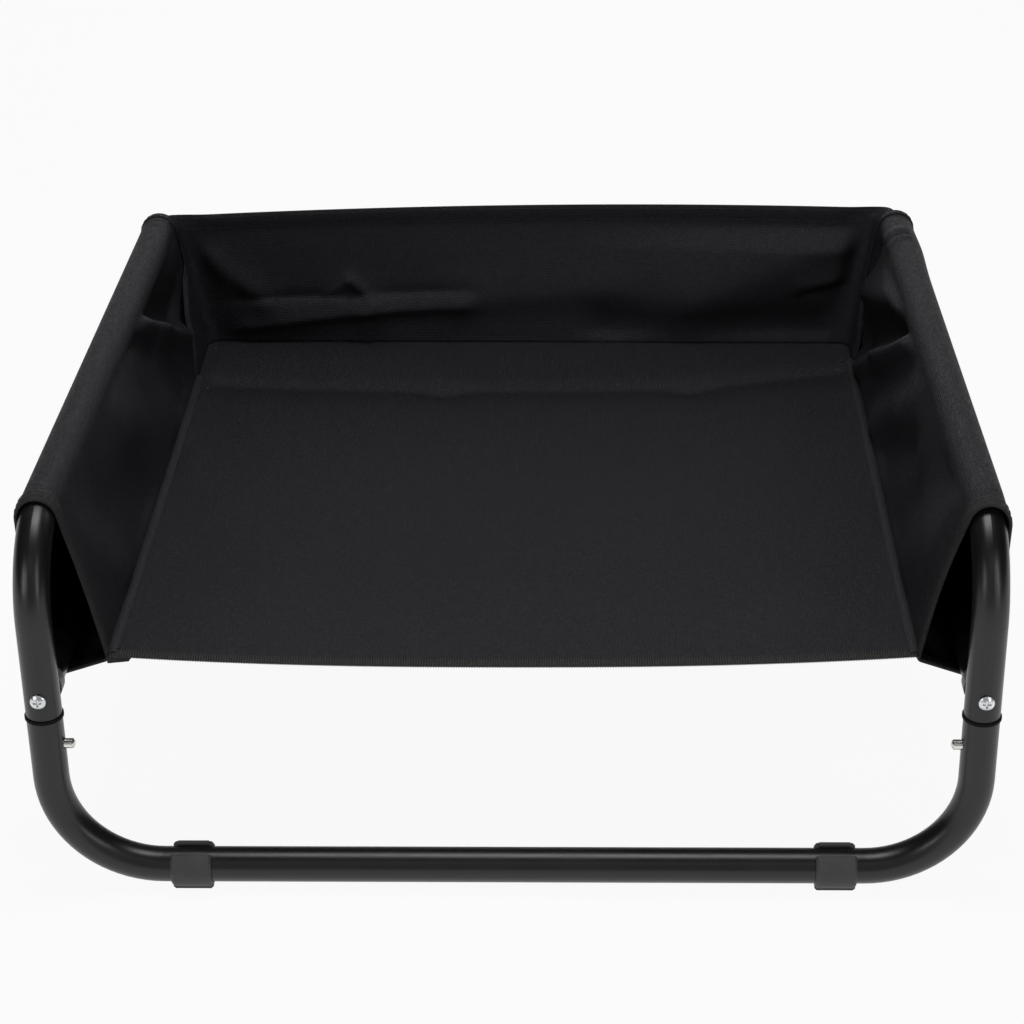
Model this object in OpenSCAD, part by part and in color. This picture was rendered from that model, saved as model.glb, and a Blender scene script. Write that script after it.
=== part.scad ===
// Raised dog cot: a bent steel tube frame that carries a sewn fabric sling.
// X runs across the cot, Y from its open front to its back wall, and Z up.
// The origin lies on the ground, under the middle of the frame.

/* [Overall] */
// Width over the two side rails
overall_w = 560; // [460:5:800]
// Depth over the front and the rear legs
overall_d = 560; // [460:5:800]
// Height of the rails' tops above the ground
overall_h = 240; // [225:1:320]

/* [Tubes] */
// Outer diameter of the frame tubes
tube_d = 21; // [19:0.5:24]
// Wall of the frame tubes
tube_wall = 1.2; // [0.9:0.1:1.6]
// Bend radius of the rails, to the tube's axis
rail_bend_r = 52; // [42:1:60]
// Bend radius of the U-legs, to the tube's axis
leg_bend_r = 62; // [45:1:65]
// Height of the break between a rail and a U-leg
joint_z = 118; // [112:1:122]
// Height of the side bars' axes
bar_z = 133; // [130:1:150]
// Outer diameter of the side bars
bar_d = 19; // [17:0.5:21]

/* [Leg joint] */
// Wall of the inner spigot
spigot_wall = 1.2; // [0.9:0.1:1.6]
// Length of the spigot above the screw
spigot_over = 17; // [10:1:25]
// Height of the ring between a rail and a U-leg
collar_h = 2.5; // [1.5:0.25:5]
// How far the ring stands out from the tubes
collar_proud = 0.8; // [0.4:0.1:1.5]
// Diameter of the snap button
button_d = 6; // [5:0.25:7]
// How far the snap button stands out from the U-leg
button_proud = 6; // [4:0.5:7]
// Distance from the break down to the snap button
button_drop = 19.5; // [16:0.5:24]
// Thickness of the button's leaf spring
leaf_t = 0.8; // [0.5:0.1:1]
// Width of the button's leaf spring
leaf_w = 6; // [5:0.25:6.5]
// Rise of the leaf spring's bend above the button
leaf_rise = 17; // [14:1:20]

/* [Fasteners] */
// Diameter of the frame screws
screw_d = 5; // [4:0.5:6]
// Length of the frame screws under the head
screw_l = 40; // [36:1:46]
// Diameter of the screw heads
head_d = 9; // [8:0.25:11]
// Height of the screw heads
head_h = 2.8; // [2:0.1:3.5]
// Width of the captive nuts across their flats
nut_af = 8; // [7:0.5:10]
// Thickness of the captive nuts
nut_h = 4; // [3:0.25:5]

/* [Side bar ends] */
// How far a saddle stands out round the bar
saddle_proud = 1.25; // [0.5:0.25:3]
// Least thickness of a saddle between leg and bar
saddle_t = 4; // [3:0.5:8]
// How far a saddle wraps forward round the leg
saddle_wrap = 5; // [3:0.5:8]
// Length of a saddle's plug inside the bar
plug_l = 22; // [18:1:30]

/* [Feet] */
// Height of the ground tubes above the ground
sole_h = 3.4; // [2.9:0.1:6]
// Length of a foot along its tube
foot_l = 24; // [16:1:40]
// Wall of a foot's clip
foot_wall = 2.8; // [1.6:0.2:2.8]
// Width of a foot's flat sole
sole_w = 11; // [8:1:20]
// Half angle of a foot's open top
foot_open = 30; // [20:1:45]
// Distance from a U-leg's bend to the foot beside it
foot_inset = 5; // [1:1:40]

/* [Sling] */
// Thickness of the fabric
cloth_t = 1; // [0.6:0.1:1.4]
// Slack of the sleeves round the tubes
sleeve_slack = 0.6; // [0.5:0.1:1.5]
// Distance from the front legs' axes to the sleeves' front ends
sleeve_front_inset = 29.5; // [26:0.5:60]
// Distance from the rear legs' axes to the sleeves' rear ends
sleeve_rear_inset = 40; // [26:0.5:60]
// Distance from a rail's axis in to the floor seam
seam_in = 31; // [25:1:60]
// How much further out the floor seams lie at the sleeves' rear ends
seam_flare = 5; // [0:0.5:8]
// Height of the floor seams
floor_z = 139; // [130:1:150]
// Sag of the floor in its middle
floor_sag = 6; // [0:0.5:12]
// Distance of the floor's soft crease from the back wall
crease_in = 65; // [40:1:90]
// Half width of the floor's soft crease
crease_w = 11; // [6:0.5:16]
// Depth of the floor's soft crease
crease_depth = 3; // [0:0.5:5]
// Distance from the sleeves' rear ends in to the back wall's foot
back_inset = 5; // [3:0.5:40]
// How far the back wall leans back at its top corners
back_lean = 5; // [0:0.5:12]
// How far the back wall's top bows back in the middle
back_bow = 16.5; // [0:0.5:20]
// Width of the turned hems
hem_w = 12; // [8:1:20]
// Depth of the folds in the side walls
fold_depth = 6; // [0:0.5:9]

/* [Hidden] */
$fn = 64;
CORNERS = [
    ["front_left", -1, -1],
    ["front_right", 1, -1],
    ["rear_left", -1, 1],
    ["rear_right", 1, 1],
];
CORNER_PIECES = [
    "spigot", "collar", "snap_button", "snap_spring",
    "bar_saddle", "bar_nut", "frame_screw", "foot",
];

// Fits and gaps
seat_gap = 0.1;
slide_fit = 0.1;
button_fit = 0.08;
thread_fit = 0.05;
loose_fit = 0.3;
sew_gap = 0.3;
cut_over = 1;

// Frame
tube_r = tube_d / 2;
bore_r = tube_r - tube_wall;
rail_x = overall_w / 2 - tube_r;
leg_y = overall_d / 2 - tube_r;
rail_z = overall_h - tube_r;
base_z = sole_h + tube_r;
rail_foot_z = joint_z + collar_h / 2 + seat_gap;
leg_top_z = joint_z - collar_h / 2 - seat_gap;
foot_x = rail_x - leg_bend_r - foot_inset - foot_l / 2;
bar_r = bar_d / 2;
bar_bore_r = bar_r - tube_wall;
bar_half_l = leg_y - tube_r - saddle_t;

// Leg joint
spigot_r = bore_r - slide_fit;
spigot_bore_r = spigot_r - spigot_wall;
spigot_low_z = base_z + leg_bend_r + 2;
spigot_high_z = bar_z + spigot_over;
button_z = joint_z - button_drop;
button_r = button_d / 2;
flange_r = button_r + 1;
flange_t = 1.2;
flange_out = sqrt(spigot_bore_r ^ 2 - flange_r ^ 2) - loose_fit;
flange_in = flange_out - flange_t;
button_tip = tube_r + button_proud;
rivet_r = 1.2;
rivet_head_r = 2;
rivet_head_t = 0.8;
leaf_back_x = leaf_t / 2 + seat_gap - sqrt(spigot_bore_r ^ 2 - (leaf_w / 2) ^ 2);
leaf_front_x = flange_in - loose_fit - leaf_t / 2;
leaf_bend_r = 2.4;
leaf_tab = 6;

// Fasteners
screw_hole_r = screw_d / 2 + 0.25;
nut_y = screw_l - tube_r - 1.5 - nut_h;

// Sling
sleeve_front_y = sleeve_front_inset - leg_y;
sleeve_rear_y = leg_y - sleeve_rear_inset;
seam_r = 1.5;
seam_x = rail_x - seam_in;
back_y = sleeve_rear_y - back_inset;
rail_straight_y = leg_y - rail_bend_r;

// Colours
coat_black = [0.07, 0.07, 0.075];
plastic_black = [0.04, 0.04, 0.045];
plastic_grey = [0.16, 0.16, 0.17];
zinc = [0.78, 0.78, 0.8];
spring_steel = [0.55, 0.55, 0.57];
cloth_black = [0.1, 0.1, 0.11];

// A round bar bent into a staple: a crossbar along X and two legs up to leg_l
module staple(half_span, bend_r, leg_l, r) {
    straight = half_span - bend_r;
    translate([-straight, 0, 0]) rotate([0, 90, 0]) cylinder(r = r, h = 2 * straight);
    for (turn = [0, 1]) mirror([turn, 0, 0]) {
        translate([straight, 0, bend_r]) rotate([90, 0, 0]) rotate([0, 0, -90])
            rotate_extrude(angle = 90) translate([bend_r, 0]) circle(r = r);
        translate([half_span, 0, bend_r]) cylinder(r = r, h = leg_l - bend_r);
    }
}

// Puts a piece at a leg's axis, with +X and +Y turned in to the middle of the cot
module at_corner(side, end) {
    translate([side * rail_x, end * leg_y, 0])
        mirror([side > 0 ? 1 : 0, 0, 0]) mirror([0, end > 0 ? 1 : 0, 0]) children();
}

module along_x(z) {
    translate([0, 0, z]) rotate([0, 90, 0]) children();
}

module along_y(z) {
    translate([0, 0, z]) rotate([-90, 0, 0]) children();
}

module rail(side) {
    leg_l = rail_z - rail_foot_z;
    color(coat_black) translate([side * rail_x, 0, 0]) difference() {
        translate([0, 0, rail_z]) rotate([0, 0, 90]) mirror([0, 0, 1]) difference() {
            staple(leg_y, rail_bend_r, leg_l, tube_r);
            staple(leg_y, rail_bend_r, leg_l + cut_over, bore_r);
        }
        for (end = [-1, 1]) translate([0, end * leg_y, 0])
            along_y(bar_z) cylinder(r = screw_hole_r, h = tube_d + cut_over, center = true);
    }
}

module u_leg(end) {
    leg_l = leg_top_z - base_z;
    color(coat_black) difference() {
        translate([0, end * leg_y, base_z]) difference() {
            staple(rail_x, leg_bend_r, leg_l, tube_r);
            staple(rail_x, leg_bend_r, leg_l + cut_over, bore_r);
        }
        for (side = [-1, 1]) at_corner(side, end)
            along_x(button_z) cylinder(r = button_r + loose_fit, h = tube_r + cut_over);
    }
}

module side_bar(side) {
    color(coat_black) translate([side * rail_x, 0, 0]) along_y(bar_z) difference() {
        cylinder(r = bar_r, h = 2 * bar_half_l, center = true);
        cylinder(r = bar_bore_r, h = 2 * (bar_half_l + cut_over), center = true);
    }
}

// Inner tube that joins a rail's leg to a U-leg
module spigot() {
    color(spring_steel) difference() {
        translate([0, 0, spigot_low_z]) cylinder(r = spigot_r, h = spigot_high_z - spigot_low_z);
        translate([0, 0, spigot_low_z - cut_over])
            cylinder(r = spigot_bore_r, h = spigot_high_z - spigot_low_z + 2 * cut_over);
        along_y(bar_z) cylinder(r = screw_hole_r, h = tube_d, center = true);
        along_x(button_z) cylinder(r = button_r + button_fit, h = tube_r);
    }
}

// Ring round the spigot that closes the break between a rail and a U-leg
module collar() {
    ring_r = tube_r + collar_proud;
    ease = collar_proud / 2;
    color(plastic_black) translate([0, 0, joint_z - collar_h / 2]) difference() {
        union() {
            cylinder(r1 = ring_r - ease, r2 = ring_r, h = ease);
            translate([0, 0, ease]) cylinder(r = ring_r, h = collar_h - 2 * ease);
            translate([0, 0, collar_h - ease]) cylinder(r1 = ring_r, r2 = ring_r - ease, h = ease);
        }
        translate([0, 0, -cut_over]) cylinder(r = spigot_r + slide_fit, h = collar_h + 2 * cut_over);
    }
}

// Locking pin: a domed shank, a flange that stops it in the spigot, and a rivet through the spring
module snap_button() {
    dome_r = button_d * 0.65;
    dome_angle = asin(button_r / dome_r);
    dome_steps = 8;
    rivet_in = leaf_front_x - leaf_t / 2 - loose_fit;
    rivet_end = rivet_in - rivet_head_t;
    dome = [for (i = [0:dome_steps]) let(a = dome_angle * (1 - i / dome_steps))
        [dome_r * sin(a), button_tip - dome_r * (1 - cos(a))]];
    profile = concat(
        [[0, rivet_end], [rivet_head_r, rivet_end], [rivet_head_r, rivet_in], [rivet_r, rivet_in]],
        [[rivet_r, flange_in], [flange_r, flange_in], [flange_r, flange_out], [button_r, flange_out]],
        dome
    );
    color(zinc) along_x(button_z) rotate_extrude() polygon(profile);
}

// Unit vector square to the path at its point i
function path_side(path, i) = let(
    ahead = path[min(i + 1, len(path) - 1)],
    behind = path[max(i - 1, 0)],
    run = (ahead - behind) / norm(ahead - behind)
) [-run.y, run.x];

// Outline of a strip of thickness t along a path
function strip(path, t) = let(n = len(path) - 1) concat(
    [for (i = [0:n]) path[i] + path_side(path, i) * t / 2],
    [for (i = [n:-1:0]) path[i] - path_side(path, i) * t / 2]
);

// V-shaped leaf: a leg against the spigot's far wall, a bend, and a tab behind the button
module snap_spring() {
    bend_z = button_z + leaf_rise;
    bend_steps = 12;
    bend = [for (i = [0:bend_steps]) let(a = 180 - 180 * i / bend_steps)
        [leaf_back_x + leaf_bend_r * (1 + cos(a)), bend_z + leaf_bend_r * sin(a)]];
    path = concat(
        [[leaf_back_x, button_z - leaf_tab]],
        bend,
        [[leaf_front_x, button_z + leaf_tab], [leaf_front_x, button_z - leaf_tab]]
    );
    color(spring_steel) difference() {
        rotate([90, 0, 0]) linear_extrude(height = leaf_w, center = true) polygon(strip(path, leaf_t));
        along_x(button_z) cylinder(r = rivet_r + loose_fit, h = tube_r);
    }
}

// Plastic bar end: a plug in the bar's bore, and a flange hollowed to sit against the leg
module bar_saddle() {
    bar_end = tube_r + saddle_t;
    pocket_y = nut_y - seat_gap;
    color(plastic_grey) difference() {
        union() {
            translate([0, tube_r - saddle_wrap, 0])
                along_y(bar_z) cylinder(r = bar_r + saddle_proud, h = saddle_t + saddle_wrap - seat_gap);
            translate([0, bar_end - 2 * seat_gap, 0])
                along_y(bar_z) cylinder(r = bar_bore_r - slide_fit, h = plug_l);
        }
        translate([0, 0, bar_z - tube_d]) cylinder(r = tube_r + seat_gap, h = 2 * tube_d);
        along_y(bar_z) cylinder(r = screw_hole_r, h = bar_end + plug_l);
        translate([0, pocket_y, 0]) along_y(bar_z)
            cylinder(r = (nut_af / 2 + slide_fit) / cos(30), h = bar_end + plug_l - pocket_y, $fn = 6);
    }
}

module bar_nut() {
    color(zinc) translate([0, nut_y, 0]) along_y(bar_z) difference() {
        cylinder(r = nut_af / 2 / cos(30), h = nut_h, $fn = 6);
        translate([0, 0, -cut_over]) cylinder(r = screw_d / 2 + thread_fit, h = nut_h + 2 * cut_over);
    }
}

// Pan-head screw with a cross recess, through the leg and the spigot into the saddle's nut
module frame_screw() {
    dome_r = head_d * 0.75;
    recess = [head_d * 0.55, head_d * 0.13, head_h * 0.55];
    color(zinc) translate([0, -tube_r - seat_gap, 0]) along_y(bar_z) {
        cylinder(r = screw_d / 2, h = screw_l);
        translate([0, 0, -head_h]) difference() {
            intersection() {
                cylinder(r = head_d / 2, h = head_h);
                translate([0, 0, dome_r]) sphere(r = dome_r);
            }
            for (turn = [0, 90]) rotate([0, 0, turn])
                translate([-recess.x / 2, -recess.y / 2, -cut_over]) cube(recess + [0, 0, cut_over]);
        }
    }
}

// Clip-on glide: a ring open at the top, with beaded lips and a flat sole
module foot(side, end) {
    in_r = tube_r + seat_gap;
    out_r = tube_r + foot_wall;
    bead_r = foot_wall * 0.55;
    bead_out = in_r + bead_r + seat_gap;
    ease = foot_wall / 2;
    reach = 2 * out_r;
    color(plastic_grey) translate([side * foot_x - foot_l / 2, end * leg_y, base_z]) rotate([0, 90, 0]) {
        difference() {
            union() {
                cylinder(r1 = out_r - ease, r2 = out_r, h = ease);
                translate([0, 0, ease]) cylinder(r = out_r, h = foot_l - 2 * ease);
                translate([0, 0, foot_l - ease]) cylinder(r1 = out_r, r2 = out_r - ease, h = ease);
                rotate([90, 0, 0]) linear_extrude(height = sole_w, center = true) polygon([
                    [0, 0], [base_z - ease, 0], [base_z, ease],
                    [base_z, foot_l - ease], [base_z - ease, foot_l], [0, foot_l],
                ]);
            }
            translate([0, 0, -cut_over]) cylinder(r = in_r, h = foot_l + 2 * cut_over);
            translate([0, 0, -cut_over]) linear_extrude(height = foot_l + 2 * cut_over) polygon([
                [0, 0],
                [-reach * cos(foot_open), reach * sin(foot_open)],
                [-reach, 0],
                [-reach * cos(foot_open), -reach * sin(foot_open)],
            ]);
        }
        for (lip = [-1, 1]) rotate([0, 0, 180 - lip * foot_open])
            translate([bead_out, 0, foot_wall]) cylinder(r = bead_r, h = foot_l - 2 * foot_wall);
    }
}

// Smooth hill of width w that is 1 at distance 0
function hill(d, w) = exp(-(d / w) ^ 2);

// Point at share s of the way from a to b
function between(a, b, s) = a + (b - a) * s;

// A rail's highest and lowest point at depth y, with its bends
function rail_bend_y(y) = max(0, abs(y) - rail_straight_y);
function rail_edge(y, r) = rail_z - rail_bend_r + sqrt((rail_bend_r + r) ^ 2 - rail_bend_y(y) ^ 2);

// Round supports of a sleeve at depth y, each [x, z, radius]
function rail_support(y) = let(top = rail_edge(y, tube_r), low = rail_edge(y, -tube_r))
    [rail_x, (top + low) / 2, (top - low) / 2 + sleeve_slack];
bar_support = [rail_x, bar_z, bar_r + sleeve_slack];
function seam_at(y) = seam_x + seam_flare * (y - sleeve_front_y) / (sleeve_rear_y - sleeve_front_y);
function seam_support(y) = [seam_at(y), floor_z, seam_r];

// Angle of the outward normal where cloth runs straight from support a to support b
function taut_angle(a, b) = let(d = [b.x - a.x, b.y - a.y])
    (atan2(d.y, d.x) - acos((a.z - b.z) / norm(d)) + 360) % 360;

function on_support(s, angle) = [s.x, s.y] + s.z * [cos(angle), sin(angle)];

// Cloth round a support, as [x, z, normal angle] points
function wrap(s, from, to, n) = [for (i = [0:n]) let(a = between(from, to, i / n))
    concat(on_support(s, a), a)];

// Cloth between two supports, pushed out square to itself by push(share of the run)
function run(a, b, angle, n, push) = [for (i = [1:n - 1]) concat(
    between(on_support(a, angle), on_support(b, angle), i / n) + push(i / n) * [cos(angle), sin(angle)],
    angle
)];

// Fold of a side wall at depth y and share s down from the rail: a hollow, and a ridge below it
function wall_fold(y, s) = let(
    rear = back_y - 45,
    fade = max(0, min(1, (back_y - 12 - abs(y)) / 25)),
    hollow = -hill(y - rear, 34) * hill(s - 0.42, 0.24),
    ridge = 0.6 * hill(s - 0.74 + (y - rear) / 240, 0.13) * hill(y - rear + 30, 60),
    slack = -0.45 * hill(y - 20, 90) * hill(s - 0.5, 0.3)
) fold_depth * fade * (hollow + ridge + slack);

// Closed loop of a sleeve at depth y: over the rail, down the side wall to the seam, under the bar
function sleeve_loop(y) = let(
    rail = rail_support(y),
    seam = seam_support(y),
    up = taut_angle(bar_support, rail),
    start = up > 180 ? up - 360 : up,
    down = taut_angle(rail, seam),
    under = taut_angle(seam, bar_support),
    flat = function(s) 0
) concat(
    wrap(rail, start, down, 10),
    run(rail, seam, down, 8, function(s) wall_fold(y, s)),
    wrap(seam, down, under, 3),
    run(seam, bar_support, under, 2, flat),
    wrap(bar_support, under, start + 360, 8),
    run(bar_support, rail, start, 3, flat)
);

// Inner face of a side wall at depth y and height z, as a distance from the middle of the cot
function wall_x(y, z) = let(
    angle = taut_angle(rail_support(y), seam_support(y)),
    reach = [seam_at(y), floor_z] * [cos(angle), sin(angle)] + seam_r + cloth_t
) (reach - sin(angle) * z) / cos(angle);

function quad(a, b, c, d) = [[a, b, c], [a, c, d]];

// A sheet of cloth between two skins of like points, whose rows may close on themselves
module cloth(skin, lining, closed) {
    rows = len(skin);
    n = len(skin[0]);
    spans = closed ? n : n - 1;
    half = rows * n;
    points = concat([for (r = skin) for (p = r) p], [for (r = lining) for (p = r) p]);
    function at(i, j) = i * n + j % n;
    faces = concat(
        [for (i = [0:rows - 2]) for (j = [0:spans - 1]) each
            quad(at(i, j), at(i, j + 1), at(i + 1, j + 1), at(i + 1, j))],
        [for (i = [0:rows - 2]) for (j = [0:spans - 1]) each
            quad(half + at(i, j), half + at(i + 1, j), half + at(i + 1, j + 1), half + at(i, j + 1))],
        [for (j = [0:spans - 1]) each quad(at(0, j + 1), at(0, j), half + at(0, j), half + at(0, j + 1))],
        [for (j = [0:spans - 1]) let(i = rows - 1) each
            quad(at(i, j), at(i, j + 1), half + at(i, j + 1), half + at(i, j))],
        closed ? [] : [for (i = [0:rows - 2]) each
            quad(at(i, 0), at(i + 1, 0), half + at(i + 1, 0), half + at(i, 0))],
        closed ? [] : [for (i = [0:rows - 2]) let(j = n - 1) each
            quad(at(i + 1, j), at(i, j), half + at(i, j), half + at(i + 1, j))]
    );
    polyhedron(points = points, faces = faces);
}

// Fabric loop round a rail and a side bar
module sleeve(side) {
    end_l = 24;
    end_steps = 3;
    front_steps = 4;
    rear_steps = 7;
    front_y = sleeve_front_y + end_l;
    rear_y = sleeve_rear_y - end_l;
    fold_y = between(sleeve_front_y, sleeve_rear_y, 0.7);
    depths = concat(
        [for (i = [0:end_steps - 1]) between(sleeve_front_y, front_y, i / end_steps)],
        [for (i = [0:front_steps - 1]) between(front_y, fold_y, i / front_steps)],
        [for (i = [0:rear_steps - 1]) between(fold_y, rear_y, i / rear_steps)],
        [for (i = [0:end_steps]) between(rear_y, sleeve_rear_y, i / end_steps)]
    );
    loops = [for (y = depths) sleeve_loop(y)];
    function layer(t) = [for (i = [0:len(depths) - 1]) [for (p = loops[i])
        [p.x + t * cos(p.z), depths[i], p.y + t * sin(p.z)]]];
    color(cloth_black) mirror([side < 0 ? 1 : 0, 0, 0]) cloth(layer(cloth_t), layer(0), true);
}

// Bed floor, sagging between the seams, with a soft crease before the back wall and a turned front hem
module floor_panel() {
    rear_y = back_y - cloth_t / 2 - sew_gap;
    crease_y = back_y - crease_in;
    crease_front_y = crease_y - 2 * crease_w;
    crease_rear_y = crease_y + 2 * crease_w;
    x_steps = 18;
    y_steps = 10;
    crease_steps = 8;
    rear_steps = 3;
    hem_y = sleeve_front_y + hem_w;
    depths = concat(
        [sleeve_front_y, hem_y, hem_y + cloth_t],
        [for (i = [1:y_steps]) between(hem_y + cloth_t, crease_front_y, i / y_steps)],
        [for (i = [1:crease_steps]) between(crease_front_y, crease_rear_y, i / crease_steps)],
        [for (i = [1:rear_steps]) between(crease_rear_y, rear_y, i / rear_steps)]
    );
    function half_x(y) = seam_at(y) - seam_r - cloth_t - sew_gap;
    function mid_z(u, y) = let(
        across = 1 - u ^ 2,
        to_rear = max(0, min(1, (y - crease_y) / (rear_y - crease_y)))
    ) floor_z - across * (floor_sag * (1 - to_rear) + crease_depth * hill(y - crease_y, crease_w));
    function layer(up) = [for (y = depths) [for (j = [0:x_steps])
        let(u = between(-1, 1, j / x_steps), hem = up < 0 && y <= hem_y ? cloth_t : 0)
        [u * half_x(y), y, mid_z(u, y) + up * cloth_t / 2 - hem]]];
    color(cloth_black) cloth(layer(1), layer(-1), false);
}

// Back wall between the sleeves, bowed back at its top, with low folds and a turned top hem
module back_panel() {
    low_z = floor_z - cloth_t / 2;
    hem_z = overall_h - hem_w;
    x_steps = 24;
    z_steps = 8;
    heights = concat(
        [for (i = [0:z_steps]) between(low_z, hem_z - cloth_t, i / z_steps)],
        [hem_z, overall_h]
    );
    function mid_y(u, v) = back_y + back_lean * v + back_bow * v * (1 - u ^ 2)
        - fold_depth * 0.7 * hill(v - 0.3 - 0.12 * u, 0.1) * hill(u + 0.45, 0.3)
        + fold_depth * 0.5 * hill(v - 0.45, 0.25) * hill(abs(u) - 0.86, 0.08);
    function layer(out) = [for (z = heights) [for (j = [0:x_steps]) let(
        u = between(-1, 1, j / x_steps),
        v = (z - low_z) / (overall_h - low_z),
        y = mid_y(u, v),
        hem = out > 0 && z >= hem_z ? cloth_t : 0
    ) [u * (wall_x(back_y + back_lean * v, z) - 2 * sew_gap), y + out * cloth_t / 2 + hem, z]]];
    color(cloth_black) cloth(layer(-1), layer(1), false);
}

module left_rail() { rail(-1); }
module right_rail() { rail(1); }
module front_u_leg() { u_leg(-1); }
module rear_u_leg() { u_leg(1); }
module left_side_bar() { side_bar(-1); }
module right_side_bar() { side_bar(1); }
module left_sleeve() { sleeve(-1); }
module right_sleeve() { sleeve(1); }

left_rail();
right_rail();
front_u_leg();
rear_u_leg();
left_side_bar();
right_side_bar();
floor_panel();
left_sleeve();
right_sleeve();
back_panel();
for (c = CORNERS) {
    at_corner(c[1], c[2]) spigot();
    at_corner(c[1], c[2]) collar();
    at_corner(c[1], c[2]) snap_button();
    at_corner(c[1], c[2]) snap_spring();
    at_corner(c[1], c[2]) bar_saddle();
    at_corner(c[1], c[2]) bar_nut();
    at_corner(c[1], c[2]) frame_screw();
    foot(c[1], c[2]);
}
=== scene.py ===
"""Looks of a raised dog cot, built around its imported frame. Lengths are in metres."""
import math

import bpy
import numpy as np
from mathutils import Matrix, Vector


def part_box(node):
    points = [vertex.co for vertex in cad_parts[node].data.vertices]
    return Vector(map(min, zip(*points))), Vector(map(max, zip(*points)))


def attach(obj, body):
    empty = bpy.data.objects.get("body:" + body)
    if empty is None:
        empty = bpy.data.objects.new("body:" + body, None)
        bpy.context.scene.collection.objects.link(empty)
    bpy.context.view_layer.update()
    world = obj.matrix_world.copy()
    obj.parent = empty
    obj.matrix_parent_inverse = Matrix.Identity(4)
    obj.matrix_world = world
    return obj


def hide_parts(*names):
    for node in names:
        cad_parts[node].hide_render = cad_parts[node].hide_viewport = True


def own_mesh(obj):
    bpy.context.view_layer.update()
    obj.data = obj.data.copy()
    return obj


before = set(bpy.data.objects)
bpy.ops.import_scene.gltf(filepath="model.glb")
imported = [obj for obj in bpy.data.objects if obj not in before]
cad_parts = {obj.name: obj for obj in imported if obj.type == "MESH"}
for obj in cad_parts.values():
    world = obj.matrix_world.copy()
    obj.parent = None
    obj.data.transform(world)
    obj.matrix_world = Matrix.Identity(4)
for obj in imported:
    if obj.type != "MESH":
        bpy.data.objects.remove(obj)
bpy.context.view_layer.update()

MM = 0.001
SIDES = {"left": -1, "right": 1}

# Places and sizes that the frame gives
rail_low, rail_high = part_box("right_rail")
bar_low, bar_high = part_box("right_side_bar")
sleeve_low, sleeve_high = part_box("right_sleeve")
floor_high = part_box("floor_panel")[1]
back_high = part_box("back_panel")[1]
tube_r = (rail_high.x - rail_low.x) / 2
rail_x = rail_high.x - tube_r
rail_z = rail_high.z - tube_r
leg_y = rail_high.y - tube_r
bar_r = (bar_high.z - bar_low.z) / 2
bar_z = bar_low.z + bar_r
sleeve_front, sleeve_rear = sleeve_low.y, sleeve_high.y
top_z = back_high.z

# Sizes of the sling that repeat the construction's
cloth_t = 1 * MM
rail_bend_r = 52 * MM
sleeve_slack = 0.6 * MM
seam_r = 1.5 * MM
sew_gap = 0.3 * MM
floor_z = floor_high.z - cloth_t / 2
floor_sag = 6 * MM
back_y = floor_high.y + cloth_t / 2 + sew_gap
seam_front_x = sleeve_low.x + seam_r + cloth_t
seam_flare = 5 * MM
rail_straight_y = leg_y - rail_bend_r

# Sewing: hems, stitches and the ribs of the floor's seams
layer_t = 0.8 * MM
hem_w = 9 * MM
back_hem_w = 12 * MM
hem_overlap = 2 * MM
hem_r = 0.5 * MM
stitch_l = 3.6 * MM
stitch_gap = 0.5 * MM
stitch_lift = 0.1 * MM
thread_r = 0.24 * MM
thread_end = 0.45
stitch_dip = 0.8 * thread_r
seam_rib_w = 6 * MM
seam_rib_h = 1.4 * MM
seam_rib_in = 5.2 * MM
seam_front_gap = 1 * MM
seam_past_flap = 4 * MM
# Where the rows of stitches lie, in from the edge of the sleeves' tapes and of the back wall's hem
SLEEVE_STITCH_INSETS = (2.6 * MM, hem_w - 1.6 * MM)
BACK_STITCH_INSETS = (back_hem_w - 1.5 * MM, 2.2 * MM)
stitch_on_tape = 1.45 * layer_t
stitch_on_hem = 0.45 * layer_t

# Tape that binds the sleeves' ends, and where it keeps its light tone: along its fold, and over the rail,
# where the lighter tone is a painted highlight on its lit top
tape_hidden_w = hem_w - 1 * MM
tape_fold_w = 1.2 * MM
tape_fade_w = 1 * MM
# Height over which the tape's painted highlight over the rail fades in
tape_top_light_h = 9 * MM
tape_dull = 0.55

# Overlock threads of the floor's front edge
overlock_pitch = 1.5 * MM
overlock_reach = 7 * MM
overlock_under = 0.8 * overlock_reach
overlock_slant = 0.5 * overlock_pitch
overlock_r = 0.42 * MM
overlock_end = 1.5 * MM
overlock_lift = 0.1 * MM

# The sling's front, where its edges bow and lift
front_from = 120 * MM
front_run = 110 * MM

# Rows and columns of the cloths' meshes, and of their hems' arcs and flats
SLEEVE_ROWS = 260
FLOOR_ROWS = 172
FLOOR_COLUMNS = 181
BACK_ROWS = 44
SEAM_ROWS = 150
TAB_COLUMNS = 20
TAB_ROWS = 6
ARC_ROWS = 9
FLAT_ROWS = 5
# Points along a short thread, and a way that no thread runs, from which its rings are turned
TRACK_POINTS = 5
ACROSS_THREADS = (0.31, 0.52, 0.79)


def smooth(t):
    """A soft step from 0 to 1."""
    t = np.clip(t, 0, 1)
    return t * t * (3 - 2 * t)


def between(a, b, t):
    return a + (b - a) * t


def to_front(y):
    """0 in the rear and the middle of the sling, rising to 1 near its front end."""
    return smooth((-y - front_from) / front_run)


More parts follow.
